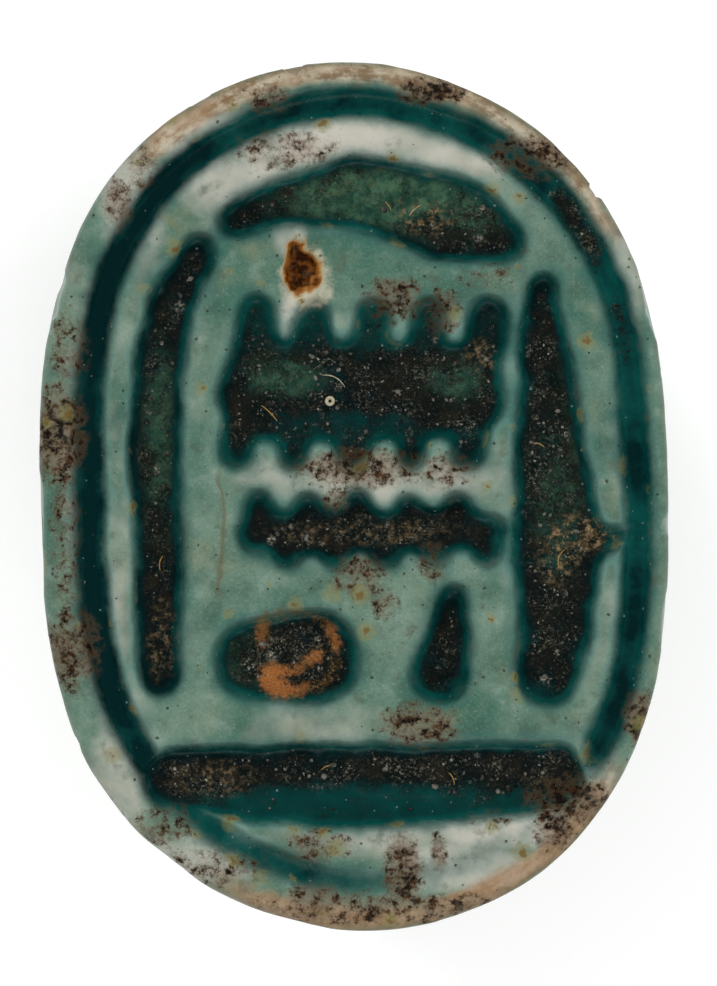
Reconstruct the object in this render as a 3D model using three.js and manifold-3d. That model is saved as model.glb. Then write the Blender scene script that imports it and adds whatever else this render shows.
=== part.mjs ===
// A scarab amulet: a beetle carved from one piece of soft stone, standing on an oval plate whose
// flat underside is a seal face. It is drilled from head to tail for a cord.
// Millimetres, +Z up, head towards +Y. The beetle is built standing on its plate and then laid on its
// back, so that the seal face lies level on top and the crown of the wing cases touches z = 0.

import * as THREE from "three";
import { mergeVertices } from "three/addons/utils/BufferGeometryUtils.js";
import Module from "manifold-3d";

const wasm = await Module();
wasm.setup();

// --- Driving dimensions ---
const length = 17.0; // head to tail
const width = 12.3;
const height = 7.4; // seal face to the crown of the wing cases

const plate = { thickness: 1.25, edgeRound: 0.3, facets: 64 };
const oval = { sideFullness: 2.86, endFullness: 1.88, skew: -0.012 };
const wall = { inset: 1.05, top: 2.6, facets: 32 }; // between the plate and the body
const cordHole = { radius: 0.65, height: 2.0, facets: 18 };

// The sunk border line runs nearly even with the plate's outline, a little nearer to it at the right.
const border = { share: 0.966, inset: 0.63, shift: [0.166, 0.072], halfWidth: 0.25 };
const borderFaint = { turn: -68, spread: 20, share: 0.36 }; // degrees round from +X
const borderCut = { depth: 0.3, taper: 0.13 };
const carving = { depth: 0.42, taper: 0.15, proud: 0.4 }; // a cutter stands proud of the face it cuts
const backLine = { halfWidth: 0.13, depth: 0.18 };

const halfLength = length / 2;
const halfWidth = width / 2;

// --- Solids ---
const weldTolerance = 1e-4;

// A closed geometry as a solid that can be cut and joined.
function solidOf(geometry) {
  const bare = geometry.clone();
  bare.deleteAttribute("normal");
  bare.deleteAttribute("uv");
  const merged = mergeVertices(bare, weldTolerance);
  return new wasm.Manifold(
    new wasm.Mesh({
      numProp: 3,
      vertProperties: merged.attributes.position.array,
      triVerts: new Uint32Array(merged.index.array),
    }),
  );
}

function geometryOf(solid) {
  const mesh = solid.getMesh();
  const positions = new THREE.BufferAttribute(new Float32Array(mesh.vertProperties), mesh.numProp);
  const faceted = new THREE.BufferGeometry();
  faceted.setAttribute("position", positions);
  faceted.setIndex(new THREE.BufferAttribute(new Uint32Array(mesh.triVerts), 1));
  const loose = faceted.toNonIndexed();
  loose.computeVertexNormals();
  return loose;
}

function joined(solids) {
  return solids.reduce((sum, next) => sum.add(next));
}

function mirroredPair(make) {
  return joined([make(1), make(-1)]);
}

// A block that holds everything between two heights.
function slab(bottom, top) {
  const block = new THREE.BoxGeometry(2 * width, 2 * length, top - bottom);
  block.translate(0, 0, (top + bottom) / 2);
  return solidOf(block);
}

function ellipsoid(centre, radii, facets) {
  const ball = new THREE.SphereGeometry(1, facets, facets / 2);
  ball.rotateX(Math.PI / 2);
  ball.scale(...radii);
  ball.translate(...centre);
  return solidOf(ball);
}

// --- Outlines ---
// The plate's outline at a turn from 0 to 1: an oval with full sides, narrower ends and a slight skew.
function ovalPoint(turn, semiX, semiY) {
  const angle = 2 * Math.PI * turn;
  const along = Math.sign(Math.cos(angle)) * Math.abs(Math.cos(angle)) ** (2 / oval.endFullness);
  const up = Math.sign(Math.sin(angle)) * Math.abs(Math.sin(angle)) ** (2 / oval.sideFullness);
  const lean = 1 + oval.skew * Math.sin(2 * Math.atan2(up, along));
  return new THREE.Vector2(along * semiX * lean, up * semiY * lean);
}

function ovalPoints(semiX, semiY, count) {
  return Array.from({ length: count }, (_, i) => ovalPoint(i / count, semiX, semiY));
}

// A cutter's stroke: it swells and narrows along its path, and ends round.
function strokeShape(path, halfWidths) {
  const spine = new THREE.SplineCurve(path.map(([x, y]) => new THREE.Vector2(x, y)));
  const steps = path.length > 2 ? 3 * (path.length - 1) : 1;
  const left = [];
  const right = [];
  for (let i = 0; i <= steps; i++) {
    const t = i / steps;
    const place = t * (halfWidths.length - 1);
    const before = Math.min(Math.floor(place), halfWidths.length - 2);
    const reach = THREE.MathUtils.lerp(halfWidths[before], halfWidths[before + 1], place - before);
    const at = spine.getPoint(t);
    const side = spine.getTangent(t).rotateAround(new THREE.Vector2(), Math.PI / 2);
    left.push(at.clone().addScaledVector(side, reach));
    right.push(at.clone().addScaledVector(side, -reach));
  }
  return new THREE.Shape([
    ...right,
    ...roundEnd(spine, 1, halfWidths.at(-1)),
    ...left.reverse(),
    ...roundEnd(spine, 0, halfWidths[0]),
  ]);
}

// The points of a half circle round one end of a spine, without its two feet. A wide end has more.
function roundEnd(spine, t, radius) {
  const centre = spine.getPoint(t);
  const tangent = spine.getTangent(t);
  const start = tangent.angle() + (t === 1 ? -Math.PI / 2 : Math.PI / 2);
  const facets = 3 + Math.ceil(4 * radius);
  return Array.from({ length: facets - 1 }, (_, i) => {
    const angle = start + (Math.PI * (i + 1)) / facets;
    return new THREE.Vector2(centre.x + radius * Math.cos(angle), centre.y + radius * Math.sin(angle));
  });
}

// What a cutter takes out below z = 0: full width at the surface, rounded in towards its floor.
function cutterOf(shape, depth, taper) {
  const cutter = new THREE.ExtrudeGeometry(shape, {
    depth: carving.proud,
    bevelThickness: depth,
    bevelSize: taper,
    bevelOffset: -taper,
    bevelSegments: 2,
    curveSegments: 1,
  });
  return solidOf(cutter);
}

// --- The plate, with its seal face up at the full height, and the wall under it ---
function plateSolid() {
  const shape = new THREE.Shape(ovalPoints(halfWidth, halfLength, plate.facets));
  const disc = new THREE.ExtrudeGeometry(shape, {
    depth: plate.thickness - 2 * plate.edgeRound,
    bevelThickness: plate.edgeRound,
    bevelSize: plate.edgeRound,
    bevelOffset: -plate.edgeRound,
    bevelSegments: 3,
    curveSegments: 1,
  });
  disc.translate(0, 0, height - plate.thickness + plate.edgeRound);
  return solidOf(disc);
}

// The low wall that joins the plate to the body, set in under both. It runs on into each of them.
function wallSolid() {
  const points = ovalPoints(halfWidth - wall.inset, halfLength - wall.inset, wall.facets);
  const depth = wall.top + plate.edgeRound - plate.thickness / 2;
  const geometry = new THREE.ExtrudeGeometry(new THREE.Shape(points), {
    depth,
    bevelEnabled: false,
    curveSegments: 1,
  });
  geometry.translate(0, 0, height - plate.thickness / 2 - depth);
  return solidOf(geometry);
}

// --- The beetle, standing on its plate's face at z = 0 ---
// The lobes of the back and the eyes, as whole ellipsoids. The wing cases end in a step at frontEdge.
const wingCases = { centre: [0, -0.6, 2.6], radii: [5.55, 7.3, 4.9], frontEdge: 1.5 };
const thorax = { centre: [0, 1.6, 2.6], radii: [5.45, 3.95, 4.55] };
const head = { centre: [0, 4.95, 2.75], radii: [2.9, 2.15, 2.15] };
const eye = { centre: [2.6, 5.35, 3.15], radii: [0.62, 0.85, 0.7] };

// The three lobes joined. A shrunk copy is the core that the lines cut into the back stop at.
function bodySolid(shrink) {
  const lobe = ({ centre, radii }, facets) =>
    ellipsoid(centre, radii.map((radius) => radius - shrink), facets);
  const behindThorax = slab(0, 2 * height).translate([0, wingCases.frontEdge - length, 0]);
  return joined([lobe(wingCases, 40).intersect(behindThorax), lobe(thorax, 36), lobe(head, 22)]);
}

function eyeSolid(side) {
  const [x, y, z] = eye.centre;
  return ellipsoid([side * x, y, z], eye.radii, 10);
}

// The toothed plate in front of the head, which slopes down to its teeth.
const mouthPlate = {
  back: { y: 5.8, halfWidth: 2.3 },
  front: { y: 7.95, halfWidth: 1.45, bow: 0.18 },
  teeth: 4,
  notch: 0.34,
  thickness: 0.5,
  edge: 0.12,
  rise: 3.15,
  slope: -11,
};

function mouthPlateSolid() {
  const { back, front, teeth, notch, thickness, edge, rise, slope } = mouthPlate;
  const points = [new THREE.Vector2(-back.halfWidth, back.y)];
  points.push(new THREE.Vector2(back.halfWidth, back.y));
  for (let i = 0; i <= 2 * teeth - 2; i++) {
    const x = front.halfWidth * (1 - i / (teeth - 1));
    const fall = front.bow * (x / front.halfWidth) ** 2 + (i % 2 ? notch : 0);
    points.push(new THREE.Vector2(x, front.y - fall));
  }
  const fan = new THREE.ExtrudeGeometry(new THREE.Shape(points), {
    depth: thickness - 2 * edge,
    bevelThickness: edge,
    bevelSize: edge,
    bevelOffset: -edge,
    bevelSegments: 1,
    curveSegments: 1,
  });
  fan.translate(0, -back.y, edge);
  fan.rotateX(THREE.MathUtils.degToRad(slope));
  fan.translate(0, back.y, rise);
  return solidOf(fan);
}

// Each leg is a round bar, half sunk in the wall, with round ends. The paths are those on the +X side.
const legs = [
  { radius: 0.55, path: [[4.75, 3.4, 2.65], [4.75, 4.75, 2.2], [3.85, 6.1, 1.85], [2.2, 7.0, 1.75]] },
  { radius: 0.5, path: [[5.2, 1.7, 2.7], [5.4, 0.3, 2.15], [5.35, -1.5, 1.75]] },
  { radius: 0.55, path: [[5.25, -1.2, 2.75], [5.1, -3.3, 2.35], [4.1, -5.7, 1.95], [2.3, -7.0, 1.75]] },
];

function legSolid({ radius, path }, side) {
  const route = new THREE.CatmullRomCurve3(path.map(([x, y, z]) => new THREE.Vector3(side * x, y, z)));
  const section = new THREE.Shape().absarc(0, 0, radius, 0, 2 * Math.PI);
  const bar = new THREE.ExtrudeGeometry(section, {
    steps: 4 * (path.length - 1),
    extrudePath: route,
    curveSegments: 4,
  });
  const ends = [route.getPoint(0), route.getPoint(1)];
  return joined([solidOf(bar), ...ends.map((end) => ellipsoid(end, [radius, radius, radius], 8))]);
}

// The lines cut into the back, seen from above: down the middle, across in front of the wing cases,
// and a notch at each shoulder.
function backLineSolid() {
  const reach = backLine.halfWidth;
  const tip = 0.8 * reach;
  const seam = strokeShape([[0, 1.4], [0, -7.8]], [reach, reach]);
  const collar = strokeShape([[-5.6, 1.95], [-2.6, 1.5], [2.6, 1.5], [5.6, 1.95]], [reach, reach]);
  const notches = [1, -1].flatMap((side) => [
    strokeShape([[side * 2.75, 1.2], [side * 3.3, 0.1]], [reach, tip]),
    strokeShape([[side * 3.85, 1.2], [side * 3.3, 0.1]], [reach, tip]),
  ]);
  const through = { depth: height, bevelEnabled: false, curveSegments: 1 };
  const blades = [seam, collar, ...notches].map((shape) =>
    solidOf(new THREE.ExtrudeGeometry(shape, through)),
  );
  return joined(blades).subtract(bodySolid(backLine.depth)).intersect(slab(wall.top, 2 * height));
}

function standingBeetle() {
  const shell = bodySolid(0).add(mirroredPair(eyeSolid)).intersect(slab(wall.top, height));
  const limbs = legs.map((leg) => mirroredPair((side) => legSolid(leg, side)));
  return joined([shell, mouthPlateSolid(), ...limbs]).subtract(backLineSolid());
}

// Turns a standing solid over its long axis and sets its crown down at z = 0.
function laidOnItsBack(solid) {
  return solid.rotate([0, 180, 0]).translate([0, 0, height]);
}

// --- The seal face, seen from above once the beetle lies on its back ---
// A sunk line runs round the field, and is thinner at the lower right, where it all but fades out.
// Inside it, rows of plain strokes lie between two upright ones.
function borderSolid() {
  const ring = (reach) =>
    ovalPoints(halfWidth, halfLength, plate.facets).map((point) => {
      const off = Math.abs(THREE.MathUtils.radToDeg(point.angle()) - 360 - borderFaint.turn);
      const faintness = 1 - THREE.MathUtils.smoothstep(off, 0.4 * borderFaint.spread, borderFaint.spread);
      const away = point.length() * border.share - border.inset + reach * (1 - borderFaint.share * faintness);
      return point.setLength(away).add(new THREE.Vector2(...border.shift));
    });
  const shape = new THREE.Shape(ring(border.halfWidth));
  shape.holes.push(new THREE.Path(ring(-border.halfWidth).reverse()));
  return cutterOf(shape, borderCut.depth, borderCut.taper);
}

// A row of five equal strokes, leaning the same way.
function strokeRow({ firstX, lastX, y, rise, lean, halfWidths }) {
  const count = 5;
  return Array.from({ length: count }, (_, i) => {
    const x = THREE.MathUtils.lerp(firstX, lastX, i / (count - 1));
    return { path: [[x + lean, y + rise], [x - lean, y - rise]], halfWidths };
  });
}

const strokes = [
  // the arched stroke under the top of the border
  {
    path: [[-2.3, 5.35], [-1.2, 5.8], [0.3, 5.85], [1.7, 5.5], [2.9, 4.95]],
    halfWidths: [0.3, 0.44, 0.72, 0.84, 0.42],
  },
  // the two uprights, and the short spur beside the right one
  { path: [[-3.0, 4.75], [-3.72, 3.2], [-3.86, 0.3], [-3.78, -3.5]], halfWidths: [0.3, 0.46, 0.52, 0.38] },
  { path: [[3.66, 4.0], [3.82, 1.2], [3.95, -1.3], [3.8, -3.5]], halfWidths: [0.32, 0.66, 0.88, 0.58] },
  { path: [[4.4, -1.0], [5.35, -0.72]], halfWidths: [0.3, 0.22] },
  // a broad bar crossed by five leaning strokes
  { path: [[-1.7, 2.0], [2.0, 2.05]], halfWidths: [0.93, 0.93] },
  ...strokeRow({ firstX: -2.1, lastX: 2.4, y: 2.15, rise: 1.35, lean: 0.2, halfWidths: [0.36, 0.32] }),
  // a narrow bar crossed by five short ones
  { path: [[-1.9, -0.7], [2.6, -0.65]], halfWidths: [0.36, 0.36] },
  ...strokeRow({ firstX: -1.6, lastX: 2.3, y: -0.66, rise: 0.46, lean: -0.28, halfWidths: [0.28, 0.28] }),
  // a fat drop and a slim leaning stroke
  { path: [[-1.9, -3.2], [-0.82, -3.1]], halfWidths: [0.78, 0.92] },
  { path: [[1.95, -1.95], [1.82, -2.7], [1.7, -3.4]], halfWidths: [0.24, 0.44, 0.56] },
  // the long stroke across the foot of the field
  { path: [[-3.5, -5.5], [0.2, -5.66], [3.85, -5.46]], halfWidths: [0.6, 0.84, 0.64] },
];

const pit = { centre: [-1.05, 4.45], radii: [0.3, 0.48, 0.35] }; // a chip in the ground

function sealFaceCuts() {
  const cutters = strokes.map(({ path, halfWidths }) =>
    cutterOf(strokeShape(path, halfWidths), carving.depth, carving.taper),
  );
  return joined([borderSolid(), ...cutters, ellipsoid([...pit.centre, 0], pit.radii, 12)]);
}

// The cord hole, drilled from under the head to under the tail.
function drilledHole() {
  const drill = new THREE.CylinderGeometry(cordHole.radius, cordHole.radius, 2 * length, cordHole.facets);
  drill.translate(0, 0, height - cordHole.height);
  return solidOf(drill);
}

const scarab = joined([plateSolid(), wallSolid(), laidOnItsBack(standingBeetle())])
  .subtract(drilledHole())
  .subtract(sealFaceCuts().translate([0, 0, height]));

const glazedStone = new THREE.MeshStandardMaterial({ color: 0x6d8f80, roughness: 0.35, metalness: 0 });
const scarabMesh = new THREE.Mesh(geometryOf(scarab), glazedStone);
scarabMesh.name = "scarab";

const amulet = new THREE.Group();
amulet.add(scarabMesh);

export default amulet;
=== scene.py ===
# A glazed stone scarab amulet, lying on its back on a pale table with its seal face up.
import math
from itertools import product

import bpy
import numpy as np
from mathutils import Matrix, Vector


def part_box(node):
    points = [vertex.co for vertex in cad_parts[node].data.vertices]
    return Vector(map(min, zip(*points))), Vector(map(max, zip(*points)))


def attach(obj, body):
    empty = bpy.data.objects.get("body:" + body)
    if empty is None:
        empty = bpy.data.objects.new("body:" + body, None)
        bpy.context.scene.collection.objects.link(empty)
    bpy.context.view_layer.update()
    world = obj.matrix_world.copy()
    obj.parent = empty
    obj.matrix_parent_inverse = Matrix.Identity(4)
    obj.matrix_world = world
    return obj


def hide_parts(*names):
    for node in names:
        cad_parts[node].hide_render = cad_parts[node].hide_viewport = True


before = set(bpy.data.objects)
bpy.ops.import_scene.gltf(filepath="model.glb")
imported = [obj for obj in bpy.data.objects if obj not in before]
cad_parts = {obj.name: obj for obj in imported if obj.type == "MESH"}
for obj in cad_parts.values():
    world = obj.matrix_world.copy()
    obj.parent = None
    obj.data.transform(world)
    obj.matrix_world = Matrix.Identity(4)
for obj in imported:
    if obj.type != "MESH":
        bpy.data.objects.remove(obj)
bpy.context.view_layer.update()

# ---------------------------------------------------------------------------------------------
# Sizes, in millimetres. The scarab part in model.glb gives the overall ones, and the rest are those of the
# solid.
# Heights called "up" are measured from the seal face towards the crown of the beetle's back.
# ---------------------------------------------------------------------------------------------
MM = 0.001
lowest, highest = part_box("scarab")
WIDTH, LENGTH, HEIGHT = ((highest[axis] - lowest[axis]) / MM for axis in range(3))
HALF_WIDTH = WIDTH / 2
HALF_LENGTH = LENGTH / 2

PLATE_THICKNESS = 1.25
PLATE_EDGE = 0.3
OVAL_SIDE_FULLNESS = 2.86
OVAL_END_FULLNESS = 1.88
OVAL_SKEW = -0.012
WALL_INSET = 1.05
WALL_TOP = 2.6
CORD_HOLE_RADIUS = 0.65
CORD_HOLE_UP = 2.0
DRILL_REACH = 9.5
DRILL_RINGS = 39
DRILL_SIDES = 40

BORDER_SHARE = 0.966
BORDER_INSET = 0.63
BORDER_SHIFT = (0.166, 0.072)
BORDER_HALF_WIDTH = 0.25
BORDER_FAINT_TURN = math.radians(-68)
BORDER_FAINT_SPREAD = math.radians(20)
BORDER_FAINT_SHARE = 0.36
BORDER_DEPTH = 0.3
CARVING_DEPTH = 0.42

WING_CASES = ((0, -0.6, 2.6), (5.55, 7.3, 4.9))
WING_FRONT = 1.5
THORAX = ((0, 1.6, 2.6), (5.45, 3.95, 4.55))
HEAD = ((0, 4.95, 2.75), (2.9, 2.15, 2.15))
EYE = ((2.6, 5.35, 3.15), (0.62, 0.85, 0.7))
LEGS = (
    (0.55, ((4.75, 3.4, 2.65), (4.75, 4.75, 2.2), (3.85, 6.1, 1.85), (2.2, 7.0, 1.75))),
    (0.5, ((5.2, 1.7, 2.7), (5.4, 0.3, 2.15), (5.35, -1.5, 1.75))),
    (0.55, ((5.25, -1.2, 2.75), (5.1, -3.3, 2.35), (4.1, -5.7, 1.95), (2.3, -7.0, 1.75))),
)
MOUTH_BACK = (5.8, 2.3)
MOUTH_FRONT = (7.95, 1.45)
MOUTH_BOW = 0.18
MOUTH_TEETH = 4
MOUTH_NOTCH = 0.34
MOUTH_THICKNESS = 0.5
MOUTH_UP = 3.15
MOUTH_SLOPE = math.radians(-11)

BACK_LINE_HALF_WIDTH = 0.13
BACK_LINE_DEPTH = 0.18
BACK_LINES = [((0, 1.4), (0, -7.8))]
BACK_LINES += [((-5.6, 1.95), (-2.6, 1.5)), ((-2.6, 1.5), (2.6, 1.5)), ((2.6, 1.5), (5.6, 1.95))]
BACK_LINES += [((side * x, 1.2), (side * 3.3, 0.1)) for side in (1, -1) for x in (2.75, 3.85)]

PIT_CENTRE = (-1.05, 4.45)
PIT_RADII = (0.3, 0.48)
PIT_DEPTH = 0.35


def stroke_row(first_x, last_x, y, rise, lean, half_widths):
    """Five equal strokes in a row, leaning the same way."""
    middles = np.linspace(first_x, last_x, 5)
    return [(((x + lean, y + rise), (x - lean, y - rise)), half_widths) for x in middles]


STROKES = [
    (((-2.3, 5.35), (-1.2, 5.8), (0.3, 5.85), (1.7, 5.5), (2.9, 4.95)), (0.3, 0.44, 0.72, 0.84, 0.42)),
    (((-3.0, 4.75), (-3.72, 3.2), (-3.86, 0.3), (-3.78, -3.5)), (0.3, 0.46, 0.52, 0.38)),
    (((3.66, 4.0), (3.82, 1.2), (3.95, -1.3), (3.8, -3.5)), (0.32, 0.66, 0.88, 0.58)),
    (((4.4, -1.0), (5.35, -0.72)), (0.3, 0.22)),
    (((-1.7, 2.0), (2.0, 2.05)), (0.93, 0.93)),
    *stroke_row(-2.1, 2.4, 2.15, 1.35, 0.2, (0.36, 0.32)),
    (((-1.9, -0.7), (2.6, -0.65)), (0.36, 0.36)),
    *stroke_row(-1.6, 2.3, -0.66, 0.46, -0.28, (0.28, 0.28)),
    (((-1.9, -3.2), (-0.82, -3.1)), (0.78, 0.92)),
    (((1.95, -1.95), (1.82, -2.7), (1.7, -3.4)), (0.24, 0.44, 0.56)),
    (((-3.5, -5.5), (0.2, -5.66), (3.85, -5.46)), (0.6, 0.84, 0.64)),
]


# ---------------------------------------------------------------------------------------------
# Arithmetic on arrays of points
# ---------------------------------------------------------------------------------------------
FAR = 9.0  # a distance from everything


def full_turn(steps):
    """Evenly spaced angles all the way round."""
    return 2 * np.pi * np.arange(steps) / steps


def eased(value, start, stop):
    """0 before start, 1 after stop, and a smooth step between them."""
    t = np.clip((value - start) / (stop - start), 0, 1)
    return t * t * (3 - 2 * t)


def soft_min(a, b, reach):
    """The smaller of two distances, rounded over where they are nearly the same."""
    blend = np.clip(0.5 + 0.5 * (b - a) / reach, 0, 1)
    return b + (a - b) * blend - reach * blend * (1 - blend)


def soft_max(a, b, reach):
    return -soft_min(-a, -b, reach)


def lumps(size, seed, x, y, z=0.0):
    """Smooth random swelling from -1 to 1, whose bumps are about `size` across."""
    cells = 24
    table = np.random.default_rng(seed).uniform(-1, 1, (cells, cells, cells))
    places = np.stack(np.broadcast_arrays(x, y, z), axis=-1) / size + 5 * cells
    corner = np.floor(places).astype(int)
    part = places - corner
    part = part * part * (3 - 2 * part)
    total = np.zeros(places.shape[:-1])
    for step in product((0, 1), repeat=3):
        weight = np.prod(np.where(step, part, 1 - part), axis=-1)
        i, j, k = np.moveaxis((corner + step) % cells, -1, 0)
        total += weight * table[i, j, k]
    return total


def spline(points, spans):
    """Points along a smooth curve through the given ones, `spans` to a stretch, with their places on it."""
    points = np.array(points, float)
    last = len(points) - 1
    places = np.linspace(0, last, spans * last + 1)
    result = []
    for place in places:
        i = min(int(place), last - 1)
        t = place - i
        a, b, c, d = (points[min(max(k, 0), last)] for k in (i - 1, i, i + 1, i + 2))
        start = 2 * b + (c - a) * t
        result.append(0.5 * (start + (2 * a - 5 * b + 4 * c - d) * t**2 + (3 * b - a - 3 * c + d) * t**3))
    return np.array(result), places / last


def chain_gap(where, path, radii):
    """Distance from each point to a chain of tapering round-ended links. It is negative inside."""
    gap = np.full(len(where), np.inf)
    for a, b, from_radius, to_radius in zip(path, path[1:], radii, radii[1:]):
        along = b - a
        t = np.clip((where - a) @ along / (along @ along), 0, 1)
        off = np.linalg.norm(where - a - t[:, None] * along, axis=1)
        gap = np.minimum(gap, off - (from_radius + (to_radius - from_radius) * t))
    return gap


# ---------------------------------------------------------------------------------------------
# The plate's outline and the cuts in its face, seen from above
# ---------------------------------------------------------------------------------------------
def oval_outline(count):
    turn = full_turn(count)
    along = np.sign(np.cos(turn)) * np.abs(np.cos(turn)) ** (2 / OVAL_END_FULLNESS)
    up = np.sign(np.sin(turn)) * np.abs(np.sin(turn)) ** (2 / OVAL_SIDE_FULLNESS)
    lean = 1 + OVAL_SKEW * np.sin(2 * np.arctan2(up, along))
    return along * HALF_WIDTH * lean, up * HALF_LENGTH * lean


OUTLINE_X, OUTLINE_Y = oval_outline(3000)
OUTLINE_ANGLE = np.arctan2(OUTLINE_Y, OUTLINE_X)
OUTLINE_RADIUS = np.hypot(OUTLINE_X, OUTLINE_Y)


def outline_radius(angle):
    return np.interp(angle, OUTLINE_ANGLE, OUTLINE_RADIUS, period=2 * np.pi)


def border_radius(angle):
    return outline_radius(angle) * BORDER_SHARE - BORDER_INSET


def border_faintness(x, y):
    """1 where the sunk border line is narrowest, at the lower right, and 0 in the rest of it."""
    off = np.abs(np.arctan2(y - BORDER_SHIFT[1], x - BORDER_SHIFT[0]) - BORDER_FAINT_TURN)
    return eased(-off, -BORDER_FAINT_SPREAD, -0.4 * BORDER_FAINT_SPREAD)


def border_gap(x, y):
    """Distance to the edge of the sunk border line, negative inside it."""
    half_width = BORDER_HALF_WIDTH * (1 - BORDER_FAINT_SHARE * border_faintness(x, y))
    x = x - BORDER_SHIFT[0]
    y = y - BORDER_SHIFT[1]
    angle = np.arctan2(y, x)
    radius = np.hypot(x, y)
    step = 0.01
    slope = (border_radius(angle + step) - border_radius(angle - step)) / (2 * step)
    off = np.abs(radius - border_radius(angle)) / np.hypot(1, slope / np.maximum(radius, 1))
    return off - half_width


def stroke_gap(x, y):
    """Distance to the edge of the nearest stroke, negative inside it."""
    where = np.stack([x, y], axis=1)
    gap = np.full(len(where), FAR)
    for path, half_widths in STROKES:
        line, places = spline(path, 8)
        radii = np.interp(places, np.linspace(0, 1, len(half_widths)), half_widths)
        gap = soft_min(gap, chain_gap(where, line, radii), 0.06)
    return gap


def back_line_gap(x, y):
    where = np.stack([x, y], axis=1)
    gap = np.full(len(where), FAR)
    for line in BACK_LINES:
        radius = BACK_LINE_HALF_WIDTH
        gap = np.minimum(gap, chain_gap(where, np.array(line, float), (radius, radius)))
    return gap


# ---------------------------------------------------------------------------------------------
# The beetle as a distance field. Points are x, y and up.
# ---------------------------------------------------------------------------------------------
def ellipsoid_gap(where, ellipsoid):
    centre, radii = (np.array(values) for values in ellipsoid)
    near = np.linalg.norm((where - centre) / radii, axis=1)
    steep = np.linalg.norm((where - centre) / radii**2, axis=1)
    return near * (near - 1) / np.maximum(steep, 1e-6)


def mouth_outline():
    back_y, back_x = MOUTH_BACK
    front_y, front_x = MOUTH_FRONT
    points = [(-back_x, back_y), (back_x, back_y)]
    for i in range(2 * MOUTH_TEETH - 1):
        x = front_x * (1 - i / (MOUTH_TEETH - 1))
        fall = MOUTH_BOW * (x / front_x) ** 2 + (MOUTH_NOTCH if i % 2 else 0)
        points.append((x, front_y - fall))
    return np.array(points)


def polygon_gap(where, corners):
    """Distance to the edge of a polygon, negative inside it."""
    off = np.full(len(where), np.inf)
    inside = np.zeros(len(where), bool)
    for a, b in zip(corners, np.roll(corners, -1, axis=0)):
        along = b - a
        t = np.clip((where - a) @ along / (along @ along), 0, 1)
        off = np.minimum(off, np.linalg.norm(where - a - t[:, None] * along, axis=1))
        if a[1] != b[1]:
            spans = (a[1] > where[:, 1]) != (b[1] > where[:, 1])
            inside ^= spans & (where[:, 0] < a[0] + along[0] * (where[:, 1] - a[1]) / along[1])
    return np.where(inside, -off, off)


def mouth_plate_gap(where):
    x, y, up = where.T
    y = y - MOUTH_BACK[0]
    up = up - MOUTH_UP
    level_y = y * math.cos(MOUTH_SLOPE) + up * math.sin(MOUTH_SLOPE)
    level_up = up * math.cos(MOUTH_SLOPE) - y * math.sin(MOUTH_SLOPE)
    plan = polygon_gap(np.stack([x, level_y + MOUTH_BACK[0]], axis=1), mouth_outline())
    half = MOUTH_THICKNESS / 2
    return soft_max(plan, np.abs(level_up - half) - half, 0.12)


def folded_over(where):
    """The points with those of the left side mirrored onto the right one, as both sides are alike."""
    return np.column_stack([np.abs(where[:, 0]), where[:, 1:]])


def leg_gap(where):
    folded = folded_over(where)
    gap = np.full(len(where), FAR)
    for radius, path in LEGS:
        line, places = spline(path, 6)
        ribs = 1 - 0.06 * np.sin(np.pi * 7 * places) ** 2
        gap = np.minimum(gap, chain_gap(folded, line, radius * ribs))
    return gap


def beetle_gap(where):
    x, y, up = where.T
    wings = soft_max(ellipsoid_gap(where, WING_CASES), y - WING_FRONT, 0.08)
    back = soft_min(wings, ellipsoid_gap(where, THORAX), 0.05)
    back = soft_min(back, ellipsoid_gap(where, HEAD), 0.2)
    back = soft_min(back, ellipsoid_gap(folded_over(where), EYE), 0.1)
    back = back + BACK_LINE_DEPTH * eased(-back_line_gap(x, y), -0.08, 0.1)
    back = soft_max(back, WALL_TOP - up, 0.2)
    wall = np.hypot(x, y) - outline_radius(np.arctan2(y, x)) + WALL_INSET
    wall = soft_max(wall, up - WALL_TOP - PLATE_EDGE, 0.1)
    body = soft_min(back, wall, 0.15)
    body = soft_min(body, mouth_plate_gap(where), 0.12)
    return soft_min(body, leg_gap(where), 0.12)


def march(start, target):
    """Moves each start point towards its target until it meets the beetle."""
    way = target - start
    span = np.linalg.norm(way, axis=1)
    way = way / span[:, None]
    gone = np.zeros(len(start))
    steps = 70
    caution = 0.75
    for _ in range(steps):
        gap = beetle_gap(start + way * gone[:, None])
        gone = np.clip(gone + caution * gap, 0, span)
    return start + way * gone[:, None]


# ---------------------------------------------------------------------------------------------
# The mesh: one grid over the seal face, rows down the sides, and a coarser grid over the back
# ---------------------------------------------------------------------------------------------
# Each grid has a block of columns and rows in the middle, and layers of rings round it.
BLOCK_HALF_SIZES = (4.45, 6.35)
BLOCK_BULGE = 0.6
FACE_GRID = (170, 236, 26)
BACK_GRID = (85, 118, 26)

# The rows down the side: round the rim, down the plate's edge, back under it and along the wall.
RIM_TURNS = np.radians((22.5, 45, 67.5, 90))
EDGE_LEVELS = (0.45, 0.62, 0.8, PLATE_THICKNESS - PLATE_EDGE)
UNDER_TURNS = np.radians((30, 60, 90))
LEDGE_SHARES = (0.25, 0.5, 0.75)
WALL_LEVELS = (PLATE_THICKNESS + 0.04, *np.linspace(1.42, 2.86, 12))

# The dome that the points of the back are thrown from, and how far out along the axis they aim.
DOME_LEVEL = 2.95
DOME_ASIDE = 1.2
DOME_UP = 6.5
AIM = 0.45

# The share of a cut's form at which its wall starts and ends.
CUT_WALL = (0.08, 0.94)


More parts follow.
